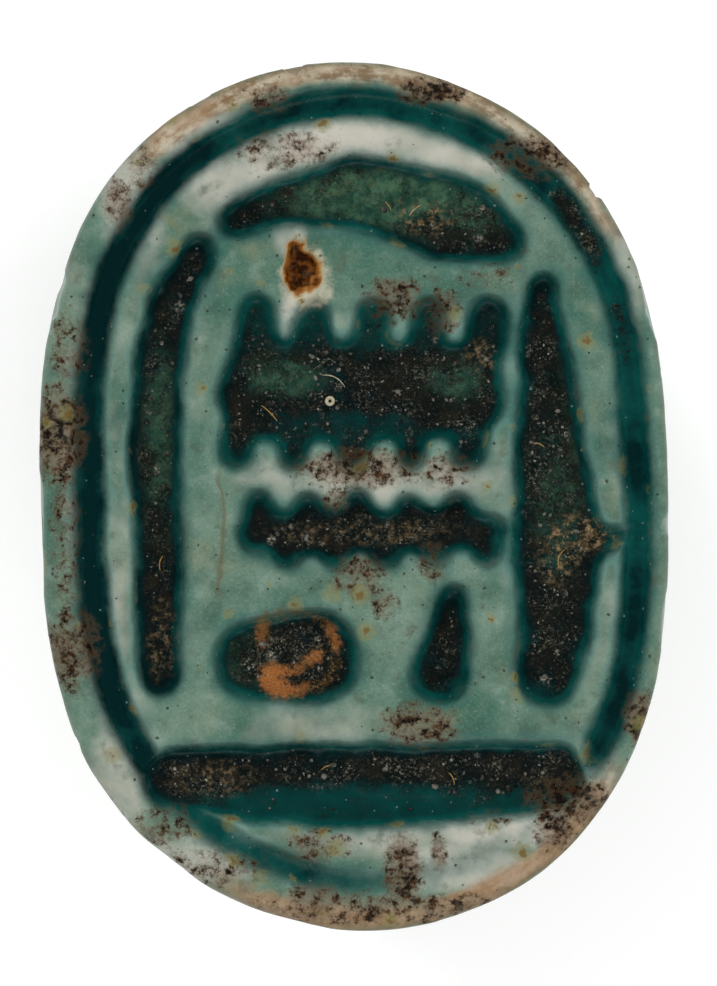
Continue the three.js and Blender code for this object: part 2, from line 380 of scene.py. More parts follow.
def oval_grid(columns, rows, layers, inset):
    """A grid that fills the plate's outline: a bulging block, and rings from it to the edge.
    Returns the points and quads, and the row of points round the edge, all anticlockwise."""
    u, v = np.meshgrid(np.linspace(-1, 1, columns + 1), np.linspace(-1, 1, rows + 1))
    x = BLOCK_HALF_SIZES[0] * u * np.sqrt(1 - BLOCK_BULGE * v * v / 2)
    y = BLOCK_HALF_SIZES[1] * v * np.sqrt(1 - BLOCK_BULGE * u * u / 2)
    points = np.stack([x.ravel(), y.ravel()], axis=1)
    index = np.arange(len(points)).reshape(rows + 1, columns + 1)
    corners = [index[:-1, :-1], index[:-1, 1:], index[1:, 1:], index[1:, :-1]]
    quads = [np.stack(corners, axis=-1).reshape(-1, 4)]
    edge = np.concatenate([index[:-1, -1], index[-1, :0:-1], index[:0:-1, 0], index[0, :-1]])
    inner = points[edge]
    angle = np.arctan2(inner[:, 1], inner[:, 0])
    outer = inner * (outline_radius(angle) / np.linalg.norm(inner, axis=1))[:, None]
    outer = outer - inset * outward(outer)
    for layer in range(1, layers + 1):
        t = layer / layers
        ring = len(points) + np.arange(len(edge))
        points = np.concatenate([points, inner + (outer - inner) * t])
        quads.append(band(edge, ring))
        edge = ring
    return points, np.concatenate(quads), edge


def outward(loop):
    """The outward normals of a closed anticlockwise loop of plan points."""
    along = np.roll(loop, -1, axis=0) - np.roll(loop, 1, axis=0)
    normal = np.stack([along[:, 1], -along[:, 0]], axis=1)
    return normal / np.linalg.norm(normal, axis=1)[:, None]


def band(inner, outer):
    """Quads between two rows of the same length, facing up where the second row is the outer one."""
    return np.stack([inner, outer, np.roll(outer, -1), np.roll(inner, -1)], axis=1)


def halving_band(fine, coarse):
    """Triangles between a row and the next one, which has half as many points."""
    middle, last = fine[1::2], np.roll(fine[::2], -1)
    after = np.roll(coarse, -1)
    first = np.stack([fine[::2], coarse, middle], axis=1)
    second = np.stack([middle, coarse, after], axis=1)
    third = np.stack([middle, after, last], axis=1)
    return np.concatenate([first, second, third])


def cut_edges(x, y):
    """The hand-cut edges of the strokes and of the border line."""
    unsteady = 0.07 * lumps(0.9, 11, x, y) + 0.045 * lumps(0.38, 12, x, y)
    wander = 0.05 * lumps(1.6, 13, x, y) + 0.02 * lumps(0.4, 14, x, y)
    return stroke_gap(x, y) + unsteady, border_gap(x, y) + wander


# How fully the glaze fills the border line, at some angles in degrees round from +X.
LINE_GLAZE = ((-130, -112, -97, -82, -58, -46), (1.0, 0.8, 0.66, 0.3, 0.25, 1.0))


class FaceMap:
    """Numbers on a fine square grid over the seal face, which are read between its points."""

    step = 0.04
    columns = np.arange(-HALF_WIDTH - 0.5, HALF_WIDTH + 0.5, step)
    rows = np.arange(-HALF_LENGTH - 0.5, HALF_LENGTH + 0.5, step)

    def __init__(self, values):
        self.values = values

    def blurred(self, spread):
        """The map with each number spread over about this many millimetres."""
        turns_x = np.fft.fftfreq(len(self.columns))
        turns_y = np.fft.fftfreq(len(self.rows))[:, None]
        blur = np.exp(-2 * (np.pi * spread / self.step) ** 2 * (turns_x**2 + turns_y**2))
        return FaceMap(np.fft.ifft2(np.fft.fft2(self.values) * blur).real)

    def at(self, x, y):
        column = (x - self.columns[0]) / self.step
        row = (y - self.rows[0]) / self.step
        i = column.astype(int)
        j = row.astype(int)
        near = self.values[j, i] + (self.values[j, i + 1] - self.values[j, i]) * (column - i)
        far = self.values[j + 1, i] + (self.values[j + 1, i + 1] - self.values[j + 1, i]) * (column - i)
        return near + (far - near) * (row - j)


def cut_maps():
    """Maps of the strokes and of the border line: 1 in them and 0 outside."""
    x, y = np.meshgrid(FaceMap.columns, FaceMap.rows)
    gaps = cut_edges(x.ravel(), y.ravel())
    strokes, border = (np.clip(0.5 - gap / FaceMap.step, 0, 1).reshape(x.shape) for gap in gaps)
    turn = np.degrees(np.arctan2(y - BORDER_SHIFT[1], x - BORDER_SHIFT[0]))
    return FaceMap(strokes), FaceMap(border * np.interp(turn, *LINE_GLAZE))


stroke_map, border_map = cut_maps()
CUT_ROUNDING = 0.1
GLAZE_SPREAD = 0.19
stroke_form = stroke_map.blurred(CUT_ROUNDING)
border_form = border_map.blurred(CUT_ROUNDING)
stroke_pool = stroke_map.blurred(GLAZE_SPREAD)
border_pool = border_map.blurred(GLAZE_SPREAD)
# The share of cut ground near each point is greatest on the narrow ridges between cuts.
crowding = FaceMap(np.maximum(stroke_map.values, border_map.values)).blurred(0.42)


def pit_depth(x, y):
    away = np.hypot((x - PIT_CENTRE[0]) / PIT_RADII[0], (y - PIT_CENTRE[1]) / PIT_RADII[1])
    away = away + 0.3 * lumps(0.3, 15, x, y) + 0.2 * lumps(0.12, 16, x, y)
    return PIT_DEPTH * eased(-away, -1.4, -0.5)


def face_depth(x, y):
    """How far the seal face lies below its highest level."""
    floor = 0.045 * lumps(0.55, 21, x, y) + 0.03 * lumps(0.17, 22, x, y)
    strokes = (CARVING_DEPTH + floor) * eased(stroke_form.at(x, y), *CUT_WALL)
    line = BORDER_DEPTH * eased(border_form.at(x, y), *CUT_WALL)
    cuts = soft_max(strokes, line, 0.05)
    swell = 0.025 * (1 + lumps(2.4, 23, x, y)) + 0.008 * (1 + lumps(0.35, 24, x, y))
    pillow = 0.12 * crowding.at(x, y) * (1 - cuts / CARVING_DEPTH)
    return soft_max(cuts, pit_depth(x, y), 0.03) + swell + pillow


def worn_back(outline, normal, up):
    """The outline at one level of the plate's edge, worn and chipped back, most of all near the face."""
    x, y = outline.T
    worn = 0.022 * (1 + lumps(1.8, 31, x, y, up)) + 0.006 * (1 + lumps(0.3, 34, x, y, up))
    chips = 0.4 * np.clip(lumps(0.6, 32, x, y, up) - 0.45, 0, 1)
    chips = chips + 0.1 * np.clip(lumps(1.2, 33, x, y, up) - 0.2, 0, 1)
    return outline - (worn + chips * (1 - 0.7 * eased(up, 0.3, 1.0)))[:, None] * normal


class Shell:
    """Gathers the rows of points and the faces between them."""

    def __init__(self):
        self.points = []
        self.count = 0
        self.faces = []

    def add(self, points):
        self.points.append(points)
        self.count += len(points)
        return np.arange(self.count - len(points), self.count)

    def join(self, faces):
        self.faces += faces.tolist()


def scarab_shell():
    shell = Shell()
    plan, quads, edge = oval_grid(*FACE_GRID, PLATE_EDGE)
    x, y = plan.T
    shell.add(np.stack([x, y, face_depth(x, y)], axis=1))
    shell.join(quads)

    # The rim, rounded down from the face.
    lip = plan[edge]
    rim_drop = face_depth(*lip.T)
    normal = outward(lip)
    outline = lip + PLATE_EDGE * normal
    row = edge
    for turn in RIM_TURNS:
        up = rim_drop + (PLATE_EDGE - rim_drop) * (1 - math.cos(turn))
        place = lip + (worn_back(outline, normal, up) - lip) * math.sin(turn)
        following = shell.add(np.column_stack([place, up]))
        shell.join(band(row, following))
        row = following

    # From here down, each row has half as many points.
    outline = outline[::2]
    normal = normal[::2]
    rows = []
    for level in EDGE_LEVELS:
        up = np.full(len(outline), level)
        rows.append((worn_back(outline, normal, up), up))
    for turn in UNDER_TURNS:
        up = np.full(len(outline), EDGE_LEVELS[-1] + PLATE_EDGE * math.sin(turn))
        rows.append((worn_back(outline, normal, up) - PLATE_EDGE * (1 - math.cos(turn)) * normal, up))
    under = rows[-1][0]
    target_y = AIM * outline[:, 1]
    hits = []
    for level in WALL_LEVELS:
        start = np.column_stack([outline + 0.3 * normal, np.full(len(outline), level)])
        target = np.column_stack([np.zeros(len(outline)), target_y, start[:, 2]])
        hits.append(march(start, target))
    for share in LEDGE_SHARES:
        ledge = np.column_stack([under, np.full(len(under), PLATE_THICKNESS)])
        blend = ledge + (hits[0] - ledge) * share
        rows.append((blend[:, :2], blend[:, 2]))
    rows += [(hit[:, :2], hit[:, 2]) for hit in hits]
    for number, (place, up) in enumerate(rows):
        following = shell.add(np.column_stack([place, up]))
        shell.join(halving_band(row, following) if number == 0 else band(row, following))
        row = following

    # The back: every plan point is thrown onto the beetle from a dome outside it.
    plan, quads, edge = oval_grid(*BACK_GRID, 0.0)
    angle = np.arctan2(plan[:, 1], plan[:, 0])
    reach = np.linalg.norm(plan, axis=1) / outline_radius(angle)
    side = outline_radius(angle)[:, None] * np.stack([np.cos(angle), np.sin(angle)], axis=1)
    flat = np.sin(reach * math.pi / 2)
    steep = np.cos(reach * math.pi / 2)
    start = np.column_stack([DOME_ASIDE * side * flat[:, None], DOME_LEVEL + DOME_UP * steep])
    target = np.column_stack([np.zeros(len(plan)), AIM * side[:, 1] * flat, np.full(len(plan), DOME_LEVEL)])
    back = shell.add(march(start, target))
    shell.join(back[quads][:, ::-1])
    shell.join(band(row, back[edge]))

    points = np.concatenate(shell.points)
    points[:, 2] = HEIGHT - np.minimum(points[:, 2], HEIGHT)
    return points, shell.faces


def mesh_object(name, points, faces):
    mesh = bpy.data.meshes.new(name)
    mesh.from_pydata((points * MM).tolist(), [], faces)
    mesh.validate()
    mesh.polygons.foreach_set("use_smooth", np.ones(len(mesh.polygons), bool))
    piece = bpy.data.objects.new(name, mesh)
    bpy.context.scene.collection.objects.link(piece)
    return piece


def cord_drill():
    """The cutter of the cord hole. It was drilled from both ends, so it is narrowest half way."""
    turn = full_turn(DRILL_SIDES)
    stations = np.linspace(-DRILL_REACH, DRILL_REACH, DRILL_RINGS)
    points = []
    for y in stations:
        flare = 0.86 + 0.16 * min(abs(y) / HALF_LENGTH, 1)
        radius = CORD_HOLE_RADIUS * flare * (1 + 0.03 * np.sin(3 * turn + y))
        ring = [radius * np.cos(turn), np.full(DRILL_SIDES, y), HEIGHT - CORD_HOLE_UP + radius * np.sin(turn)]
        points.append(np.stack(ring, axis=1))
    rings = np.arange(DRILL_RINGS * DRILL_SIDES).reshape(DRILL_RINGS, DRILL_SIDES)
    faces = [quad for a, b in zip(rings, rings[1:]) for quad in band(a, b).tolist()]
    faces += [rings[0].tolist(), rings[-1][::-1].tolist()]
    return mesh_object("drill", np.concatenate(points), faces)


def plain_mesh(piece):
    """Applies a piece's modifiers: its mesh becomes the result, and none is left live."""
    graph = bpy.context.evaluated_depsgraph_get()
    made = bpy.data.meshes.new_from_object(piece.evaluated_get(graph))
    piece.modifiers.clear()
    piece.data = made


def drilled(piece, drill):
    cut = piece.modifiers.new("cord hole", "BOOLEAN")
    cut.operation = "DIFFERENCE"
    cut.solver = "EXACT"
    cut.object = drill
    plain_mesh(piece)
    bpy.data.objects.remove(drill)


amulet = mesh_object("carved_amulet", *scarab_shell())
drilled(amulet, cord_drill())


# ---------------------------------------------------------------------------------------------
# Where the glaze pools, thins and wears: one number a vertex for each
# ---------------------------------------------------------------------------------------------
# Each place is a centre, the half sizes of its oval, and how strong it is there.
MILKY_PLACES = (
    ((-2.3, 6.15), (1.1, 0.75), 0.75),
    ((-0.9, 6.95), (2.2, 0.5), 0.9),
    ((1.9, 6.7), (2.0, 0.4), 0.6),
    ((-4.3, 5.9), (0.6, 1.2), 0.8),
    ((-2.9, 7.0), (1.6, 0.5), 0.8),
    ((-5.45, 1.5), (0.4, 4.0), 0.3),
    ((-4.6, -5.6), (0.6, 1.5), 0.65),
    ((-3.1, -7.1), (1.2, 0.5), 0.7),
    ((2.2, -7.2), (1.5, 0.5), 0.8),
    ((4.8, -5.4), (0.35, 0.8), 0.7),
    ((-1.1, 3.35), (0.3, 0.8), 0.9),
    ((-1.25, 5.1), (0.3, 0.5), 0.7),
    ((0.25, 3.5), (0.3, 0.5), 0.4),
    ((0.5, 0.35), (2.2, 0.4), 0.6),
    ((0.9, -6.75), (1.6, 0.4), 0.5),
    ((2.9, -6.5), (1.3, 0.4), 0.95),
    ((5.3, 4.6), (0.35, 1.6), 0.6),
    ((4.9, 5.6), (0.5, 0.9), 0.5),
    ((-4.9, -2.9), (0.45, 1.6), 0.3),
    ((-0.6, -4.45), (1.4, 0.5), 0.3),
)
STAINED_PLACES = (
    ((-5.75, 1.2), (0.45, 0.9), 1.0),
    ((-5.55, 2.9), (0.35, 0.7), 0.5),
    ((-5.65, -0.6), (0.3, 0.9), 0.5),
    ((-5.5, -3.0), (0.5, 0.7), 0.9),
    ((-4.6, 5.7), (0.25, 0.45), 0.8),
    ((-4.2, 6.4), (0.35, 0.4), 0.5),
    ((-1.35, 6.75), (0.9, 0.35), 0.6),
    ((-1.7, 7.75), (0.45, 0.25), 0.7),
    ((1.5, 7.9), (0.6, 0.25), 1.0),
    ((3.5, 6.65), (0.8, 0.4), 0.9),
    ((0.8, 3.85), (0.5, 0.4), 0.8),
    ((1.75, 3.6), (0.3, 0.45), 0.7),
    ((2.6, 4.3), (0.6, 0.25), 0.4),
    ((0.1, 0.55), (1.1, 0.35), 0.9),
    ((1.7, 0.5), (0.6, 0.35), 0.6),
    ((-0.35, -0.05), (0.25, 0.25), 0.7),
    ((0.1, -1.55), (0.5, 0.4), 0.7),
    ((0.6, -2.1), (0.25, 0.3), 0.6),
    ((1.5, -1.3), (0.3, 0.4), 0.5),
    ((1.3, -4.45), (0.7, 0.4), 0.8),
    ((5.6, -4.3), (0.3, 0.5), 1.0),
    ((0.6, -8.0), (2.4, 0.28), 0.7),
    ((-3.0, -7.2), (1.2, 0.35), 0.4),
    ((-5.6, -1.6), (0.25, 0.6), 0.4),
    ((4.25, -5.95), (0.75, 0.45), 1.0),
    ((3.9, -6.45), (0.4, 0.4), 0.9),
    ((2.7, -6.3), (0.5, 0.2), 0.3),
    ((0.95, -7.3), (0.35, 0.7), 0.9),
    ((1.65, -6.9), (0.15, 0.35), 0.8),
    ((-0.8, -7.95), (0.7, 0.35), 0.8),
    ((-0.7, -6.8), (0.6, 0.3), 0.6),
    ((-3.7, -6.4), (0.6, 0.4), 0.5),
    ((-2.6, -7.3), (0.8, 0.3), 0.5),
)
CLEAN_PLACES = (
    ((0.5, 5.85), (1.7, 0.55), 0.85),
    ((2.1, 5.6), (1.0, 0.4), 0.5),
    ((0.3, -6.05), (3.9, 0.42), 1.0),
    ((0.2, 3.3), (2.9, 0.5), 0.7),
    ((0.2, 1.15), (2.4, 0.2), 0.6),
    ((-1.2, 2.3), (0.9, 0.4), 0.6),
    ((-0.2, 1.35), (1.4, 0.3), 0.7),
    ((2.0, 2.3), (0.6, 0.4), 0.6),
    ((-3.75, 1.0), (0.35, 1.6), 0.55),
    ((4.0, -0.2), (0.5, 1.2), 0.45),
    ((3.9, -3.9), (0.9, 0.25), 0.6),
    ((-3.9, -4.0), (0.6, 0.4), 0.6),
)
DIRTY_LINE_PLACES = (
    ((4.3, 5.2), (0.6, 1.1), 1.0),
    ((5.2, 3.2), (0.35, 0.9), 0.6),
    ((4.2, -5.4), (0.7, 0.5), 0.8),
)
GREEN_PLACES = (
    ((0.5, 5.85), (1.8, 0.6), 1.0),
    ((2.0, 5.5), (1.0, 0.5), 0.8),
    ((-1.4, 2.35), (0.7, 0.4), 0.7),
    ((1.9, 2.3), (0.6, 0.4), 0.7),
    ((4.0, 0.4), (0.5, 1.8), 0.55),
    ((-3.75, 1.0), (0.4, 1.8), 0.6),
    ((-2.2, -3.2), (0.6, 0.6), 0.5),
)
# Where tan crumbs are mixed in the soil.
CRUMB_PLACES = (
    ((4.4, -0.72), (0.6, 0.3), 1.0),
    ((3.95, -1.2), (0.35, 0.4), 0.7),
    ((1.4, 5.45), (0.5, 0.3), 0.6),
    ((2.5, 2.7), (0.3, 0.3), 0.6),
    ((-3.75, -2.8), (0.25, 0.7), 0.5),
    ((-2.7, -5.5), (0.7, 0.3), 0.4),
    ((0.2, -0.7), (1.6, 0.2), 0.4),
)
# Where the stone shows pale round the chip pit.
CHIP_PLACES = (((-0.95, 4.25), (0.45, 0.6), 1.0), ((-0.7, 4.0), (0.35, 0.3), 0.9))
# Stretches of the rim where the glaze is worn to the tan stone, in degrees round from +X.
WORN_STRETCHES = ((50, 126), (252, 318))
# The path of the orange crust in the fat drop, which curls like a hook.
CRUST = (
    (-1.79, -2.85), (-1.76, -2.45), (-1.4, -2.28), (-0.95, -2.25), (-0.58, -2.42),
    (-0.38, -2.8), (-0.36, -3.2), (-0.5, -3.55), (-0.85, -3.72), (-1.25, -3.8),
    (-1.58, -3.66), (-1.6, -3.42), (-1.2, -3.4), (-0.72, -3.08),
)
OFF_THE_CRUST = 3.0
CRUST_HALF_WIDTHS = (0.08, 0.1, 0.06, 0.05, 0.05, 0.07, 0.05, 0.05, 0.07, 0.1, 0.19, 0.17, 0.05, 0.1)
BRIGHT_CRUST_PLACES = (
    ((-1.5, -3.6), (0.5, 0.35), 1.0),
    ((-0.4, -2.75), (0.22, 0.3), 0.6),
    ((-0.75, -3.1), (0.25, 0.2), 0.6),
    ((-1.79, -2.7), (0.15, 0.3), 0.4),
)


# The thin brown scratch runs nearly straight down the left of the face.
SCRATCH_X = -2.6


def blots(x, y, places):
    """How strongly a point is in any of the places, from 0 to 1, fading out round each."""
    most = np.zeros(len(x))
    for (centre_x, centre_y), (across, along), strength in places:
        away = np.hypot((x - centre_x) / across, (y - centre_y) / along)
        most = np.maximum(most, strength * eased(-away, -1.6, -0.5))
    return most


def plate_gap(where):
    x, y, up = where.T
    aside = np.hypot(x, y) - outline_radius(np.arctan2(y, x))
    half = PLATE_THICKNESS / 2
    return soft_max(aside, np.abs(up - half) - half, PLATE_EDGE)


def amulet_gap(where):
    return np.minimum(beetle_gap(where), plate_gap(where))


def mark_surface(piece):
    """Gives the piece the numbers that its glaze follows, as attributes."""
    mesh = piece.data
    count = len(mesh.vertices)
    points = np.empty(count * 3)
    normals = np.empty(count * 3)
    mesh.vertices.foreach_get("co", points)
    mesh.vertex_normals.foreach_get("vector", normals)
    where = points.reshape(-1, 3) / MM
    facing = normals.reshape(-1, 3)
    where[:, 2] = HEIGHT - where[:, 2]
    facing[:, 2] *= -1
    x, y, up = where.T

    on_plate = up < PLATE_THICKNESS - 0.1
    on_face = on_plate & (facing[:, 2] < -0.3)
    stroke = stroke_pool.at(x, y)
    clean = blots(x, y, CLEAN_PLACES)
    back_line = np.where(up > WALL_TOP + 0.1, 0.8 * eased(-back_line_gap(x, y), -0.2, 0.08), 0)
    angle = np.arctan2(y, x)
    inward = outline_radius(angle) - np.hypot(x, y)
    reach = 0.35
    hollow = 1 - amulet_gap(where + reach * facing) / reach
    sharp = 1 + amulet_gap(where - reach * facing) / reach
    turn = np.degrees(angle) % 360 + 9 * lumps(3.0, 41, x, y)
    worn = np.zeros(count)
    for start, stop in WORN_STRETCHES:
        worn = worn + eased(turn, start - 8, start + 8) * eased(-turn, -stop - 8, 8 - stop)
    stained_back = 0.35 * eased(lumps(2.4, 42, x, y, up), 0.2, 0.7)
    crust, places = spline(CRUST, 4)
    half_widths = np.interp(places, np.linspace(0, 1, len(CRUST)), CRUST_HALF_WIDTHS)
    crust_edge = chain_gap(where[:, :2], crust, half_widths)

    marks = {
        "stroke": np.where(on_plate, stroke, 0),
        "line": np.where(on_plate, border_pool.at(x, y), back_line),
        "rim": np.where(on_plate, inward, 0),
        "round": (HALF_WIDTH + HALF_LENGTH) / 2 * angle,
        "hollow": np.where(on_face, 0, hollow),
        "sharp": np.where(on_face, 0, sharp),
        "crowding": np.where(on_face, crowding.at(x, y), 0),
        "milky": np.where(on_face, blots(x, y, MILKY_PLACES), 0),
        "stained": np.where(on_plate, blots(x, y, STAINED_PLACES), stained_back),
        "soiled": np.where(on_face, 1 - clean, 0),
        "green": np.where(on_face, blots(x, y, GREEN_PLACES), 0),
        "crumbly": np.where(on_face, blots(x, y, CRUMB_PLACES), 0),
        "soiled_line": np.where(on_face, blots(x, y, DIRTY_LINE_PLACES), 0),
        "worn": np.where(on_plate, worn, 0),
        "pit": np.where(on_face, pit_depth(x, y) / PIT_DEPTH, 0),
        "crust_edge": np.where(on_face, crust_edge, OFF_THE_CRUST),
        "crust_bright": blots(x, y, BRIGHT_CRUST_PLACES),
        "chip": np.where(on_face, blots(x, y, CHIP_PLACES), 0),
        "flat_face": on_face.astype(float),
        "soil_bed": np.where(on_face, eased(stroke, 0.84, 0.98) * (1 - 0.75 * clean), 0),
    }
    for name, values in marks.items():
        attribute = mesh.attributes.new(name, "FLOAT", "POINT")
        attribute.data.foreach_set("value", values.astype(np.float32))


mark_surface(amulet)


# ---------------------------------------------------------------------------------------------
# Materials
# ---------------------------------------------------------------------------------------------
class Value:
    """What a node puts out. Adding, multiplying and the like make a further node."""

    def __init__(self, bench, socket):
        self.bench = bench
        self.socket = socket

    def __add__(self, other):
        return self.bench.math("ADD", self, other)

    def __radd__(self, other):
        return self.bench.math("ADD", other, self)

    def __sub__(self, other):
        return self.bench.math("SUBTRACT", self, other)

    def __rsub__(self, other):
        return self.bench.math("SUBTRACT", other, self)

    def __mul__(self, other):
        return self.bench.math("MULTIPLY", self, other)

    def __truediv__(self, other):
        return self.bench.math("DIVIDE", self, other)

    def __rtruediv__(self, other):
        return self.bench.math("DIVIDE", other, self)

    def rise(self, start, stop):
        """0 at start and 1 at stop, with a smooth step between them."""
        rising = start < stop
        inputs = {"Value": self, "From Min": min(start, stop), "From Max": max(start, stop)}
        inputs.update({"To Min": 0.0 if rising else 1.0, "To Max": 1.0 if rising else 0.0})
        return self.bench.make("ShaderNodeMapRange", inputs, interpolation_type="SMOOTHSTEP")


def toned(colour):
    """A colour for a socket. A plain one is given as it looks on a screen, from 0 to 255 in each part."""
    if isinstance(colour, Value):
        return colour
    parts = [part / 255 for part in colour]
    return (*(part / 12.92 if part <= 0.04045 else ((part + 0.055) / 1.055) ** 2.4 for part in parts), 1)


class Bench:
    """Lays out nodes in a tree, and hands back what they put out as values."""

    def __init__(self, tree):
        self.tree = tree

    def send(self, node, inputs):
        """Sets a node's inputs, each to a plain number or colour or to a value from another node."""
        for name, value in inputs.items():
            if isinstance(value, Value):
                self.tree.links.new(value.socket, node.inputs[name])
            else:
                node.inputs[name].default_value = value

    def outputs(self, node):
        return {socket.name: Value(self, socket) for socket in node.outputs}

    def make(self, kind, inputs, output=0, **settings):
        node = self.tree.nodes.new(kind)
        for name, value in settings.items():
            setattr(node, name, value)
        self.send(node, inputs)
        return Value(self, node.outputs[output])

    def use(self, group, inputs):
        """Places a node group, and returns its outputs by name."""
        node = self.tree.nodes.new("ShaderNodeGroup")
        node.node_tree = group
        self.send(node, inputs)
        return self.outputs(node)

    def math(self, operation, a, b=0.0):
        return self.make("ShaderNodeMath", {0: a, 1: b}, operation=operation)

    def lower(self, a, b):
        return self.math("MINIMUM", a, b)

    def higher(self, a, b):
        return self.math("MAXIMUM", a, b)

    def paint(self, under, *coats):
        """Lays coats over a colour. Each coat is a colour and the share of it that covers."""
        for over, amount in coats:
            inputs = {0: amount, 6: toned(under), 7: toned(over)}
            under = self.make("ShaderNodeMix", inputs, 2, data_type="RGBA")
        return under

    def noise(self, place, size, detail=3.0, roughness=0.5):
        """Cloudy noise from 0 to 1 with patches about `size` millimetres across."""
        inputs = {"Vector": place, "Scale": 1 / size, "Detail": detail, "Roughness": roughness}
        return self.make("ShaderNodeTexNoise", inputs)

    def mark(self, name):
        """One of the piece's own numbers."""
        return self.make("ShaderNodeAttribute", {}, "Fac", attribute_name=name)

    def move(self, operation, place, inputs):
        return self.make("ShaderNodeVectorMath", {0: place, **inputs}, operation=operation)

    def shift(self, place, x, y, z):
        return self.move("ADD", place, {1: (x, y, z)})

    def axis(self, place, name):
        return self.make("ShaderNodeSeparateXYZ", {"Vector": place}, name)

    def ragged(self, place, size, reach):
        """The place, pushed about at random, so that what is drawn there has an uneven edge."""
        inputs = {"Vector": place, "Scale": 1 / size, "Detail": 2.0}
        push = self.make("ShaderNodeTexNoise", inputs, "Color")
        centred = self.move("SUBTRACT", push, {1: (0.5, 0.5, 0.5)})
        return self.move("ADD", place, {1: self.move("SCALE", centred, {"Scale": reach})})

    def millimetres(self):
        """The place on the object, in millimetres."""
        place = self.make("ShaderNodeTexCoord", {}, "Object")
        return self.make("ShaderNodeMapping", {"Vector": place, "Scale": (1 / MM, 1 / MM, 1 / MM)})

    def dress(self, shader, colour, roughness, height, reach, strength):
        """Gives the shader its colour, its roughness and its relief, which is `reach` millimetres high."""
        bumps = {"Height": height, "Distance": reach * MM, "Strength": strength}
        relief = self.make("ShaderNodeBump", bumps)
        self.send(shader, {"Base Color": colour, "Roughness": roughness, "Normal": relief})


def new_group(name, inputs, outputs):
    """An empty node group with named sockets. Returns it with its bench, its inputs and its end node."""
    group = bpy.data.node_groups.new(name, "ShaderNodeTree")
    for way, sockets in (("INPUT", inputs), ("OUTPUT", outputs)):
        for label, kind in sockets.items():
            group.interface.new_socket(label, in_out=way, socket_type="NodeSocket" + kind)
    bench = Bench(group)
    given = bench.outputs(group.nodes.new("NodeGroupInput"))
    return group, bench, given, group.nodes.new("NodeGroupOutput")


def make_specks_group():
    """Round specks, scattered at random. Share is the part of the places for one that holds one."""
    inputs = {"Place": "Vector", "Spacing": "Float", "Radius": "Float", "Share": "Float"}
    group, bench, given, end = new_group("specks", inputs, {"Mask": "Float", "Pick": "Float"})
    node = bench.tree.nodes.new("ShaderNodeTexVoronoi")
    bench.send(node, {"Vector": given["Place"], "Scale": 1.0 / given["Spacing"]})
    cells = bench.outputs(node)
    pick = bench.make("ShaderNodeSeparateColor", {0: cells["Color"]}, 0)
    size = bench.make("ShaderNodeSeparateColor", {0: cells["Color"]}, 1)
    away = cells["Distance"] * given["Spacing"]
    radius = given["Radius"] * (0.4 + size * 0.9)
    inside = (away / radius).rise(1.1, 0.6)
    chosen = bench.math("LESS_THAN", pick, given["Share"])
    bench.send(end, {"Mask": inside * chosen, "Pick": size})
    return group


def make_soil_group(specks):
    """Dark packed soil, full of fine pale grains."""
    group, bench, given, end = new_group("soil", {"Place": "Vector"}, {"Colour": "Color", "Height": "Float"})
    place = given["Place"]
    brown = bench.noise(place, 0.7, 5.0, 0.65).rise(0.5, 0.72)
    thick = bench.noise(bench.shift(place, 2.0, 5.0, 1.0), 0.6, 4.0, 0.6).rise(0.42, 0.66)
    crumbs = bench.noise(bench.shift(place, 6.0, 3.0, 2.0), 0.16, 5.0, 0.75).rise(0.54, 0.7)
    dust = bench.noise(place, 0.055, 4.0, 0.75).rise(0.52, 0.68)
    ragged = bench.ragged(place, 0.07, 0.09)
    fine = bench.use(specks, {"Place": ragged, "Spacing": 0.09, "Radius": 0.025, "Share": 0.34})
    grain = bench.paint((46, 44, 36), ((158, 154, 140), fine["Pick"]))
    shown = fine["Mask"] * (0.4 + thick * 0.55)
    moved = bench.shift(ragged, 5.3, 2.1, 0.0)
    coarse = bench.use(specks, {"Place": moved, "Spacing": 0.45, "Radius": 0.11, "Share": 0.4})
    clump = coarse["Mask"] * bench.noise(place, 0.06, 3.0, 0.7).rise(0.42, 0.62)
    colour = bench.paint(
        (2, 12, 12),
        ((16, 18, 14), bench.noise(place, 0.5).rise(0.35, 0.65)),
        ((54, 44, 28), brown * 0.28),
        ((92, 88, 72), crumbs * thick * 0.8),
        ((112, 110, 96), dust * (0.1 + thick * 0.75)),
        (grain, shown),
        ((160, 154, 138), clump * 0.8),
    )
    height = bench.noise(place, 0.09, 4.0, 0.7) + fine["Mask"] * 0.5
    bench.send(end, {"Colour": colour, "Height": height + clump})
    return group


def new_material(name):
    material = bpy.data.materials.new(name)
    material.use_nodes = True
    shader = material.node_tree.nodes["Principled BSDF"]
    return material, Bench(material.node_tree), shader


